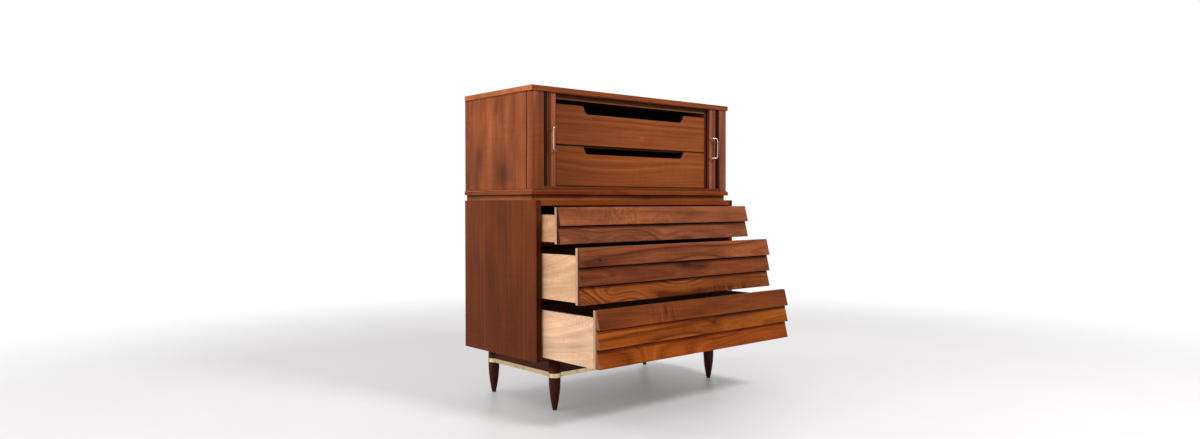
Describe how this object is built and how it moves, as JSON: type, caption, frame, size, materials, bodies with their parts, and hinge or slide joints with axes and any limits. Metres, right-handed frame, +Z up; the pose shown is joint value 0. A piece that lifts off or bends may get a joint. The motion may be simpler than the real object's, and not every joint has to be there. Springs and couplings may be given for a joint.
{
  "type": "highboy chest of drawers",
  "caption": "Tall walnut chest with louvred drawers below and tambour doors above that slide aside from inner drawers with cut-out pulls, on turned legs with a brass band.",
  "frame": {"origin": "on the floor, under the middle of the box of the part in its rest pose", "axes": "+Z up, front towards -Y, +X to the right of someone who faces the front"},
  "size_m": [1.0696, 0.7822, 1.1801],
  "materials": {
    "walnut": "satin lacquer",
    "dark_walnut": "satin dark stain",
    "maple": "satin",
    "plywood": "matte",
    "brass": "satin",
    "steel": "satin",
    "glide": "dark"
  },
  "bodies": {
    "carcass": {"lower_side_left": "walnut", "lower_side_right": "walnut", "lower_top": "walnut", "lower_bottom": "walnut", "drawer_rail_upper": "walnut", "drawer_rail_lower": "walnut", "waist_frame": "walnut", "waist_moulding": "walnut", "upper_side_left": "walnut", "upper_side_right": "walnut", "corner_post_left": "walnut", "corner_post_right": "walnut", "upper_bottom": "walnut", "top_board": "walnut", "curtain_left": "walnut", "curtain_right": "walnut", "liner_left": "walnut", "liner_right": "walnut", "liner_top": "walnut", "head_rail": "walnut", "inner_divider": "walnut", "leg_front_left": "dark_walnut", "leg_front_right": "dark_walnut", "leg_back_left": "dark_walnut", "leg_back_right": "dark_walnut", "apron_front": "dark_walnut", "apron_back": "dark_walnut", "apron_sides": "dark_walnut", "corner_blocks": "maple", "drawer_guides": "maple", "lower_back": "plywood", "upper_back": "plywood", "dust_panels": "plywood", "brass_band": "brass", "leg_glides": "glide"},
    "door_left": {"stile_left": "walnut", "handle_left": "brass", "handle_screws_left": "steel"},
    "door_right": {"stile_right": "walnut", "handle_right": "brass", "handle_screws_right": "steel"},
    "drawer_top": {"drawer_top_core": "maple", "drawer_top_louvres": "walnut", "drawer_top_walls": "maple", "drawer_top_bottom": "plywood"},
    "drawer_middle": {"drawer_middle_core": "maple", "drawer_middle_louvres": "walnut", "drawer_middle_walls": "maple", "drawer_middle_bottom": "plywood"},
    "drawer_low": {"drawer_low_core": "maple", "drawer_low_louvres": "walnut", "drawer_low_walls": "maple", "drawer_low_bottom": "plywood"},
    "inner_upper": {"inner_upper_front": "walnut", "inner_upper_walls": "maple", "inner_upper_bottom": "plywood"},
    "inner_lower": {"inner_lower_front": "walnut", "inner_lower_walls": "maple", "inner_lower_bottom": "plywood"}
  },
  "joints": [
    {"name": "drawer_top_slide", "type": "slide", "parent": "carcass", "child": "drawer_top", "axis": [0, -1, 0], "range_m": [-0.1074, 0.2376]},
    {"name": "drawer_middle_slide", "type": "slide", "parent": "carcass", "child": "drawer_middle", "axis": [0, -1, 0], "range_m": [-0.2213, 0.1237]},
    {"name": "drawer_low_slide", "type": "slide", "parent": "carcass", "child": "drawer_low", "axis": [0, -1, 0], "range_m": [-0.313, 0.032]},
    {"name": "inner_upper_slide", "type": "slide", "parent": "carcass", "child": "inner_upper", "axis": [0, -1, 0], "range_m": [0, 0.27]},
    {"name": "inner_lower_slide", "type": "slide", "parent": "carcass", "child": "inner_lower", "axis": [0, -1, 0], "range_m": [0, 0.27]},
    {"name": "door_left_slide", "type": "slide", "parent": "carcass", "child": "door_left", "axis": [-1, 0, 0], "range_m": [-0.4195, 0], "deforming": ["curtain_left"]},
    {"name": "door_right_slide", "type": "slide", "parent": "carcass", "child": "door_right", "axis": [1, 0, 0], "range_m": [-0.4195, 0], "deforming": ["curtain_right"]}
  ]
}
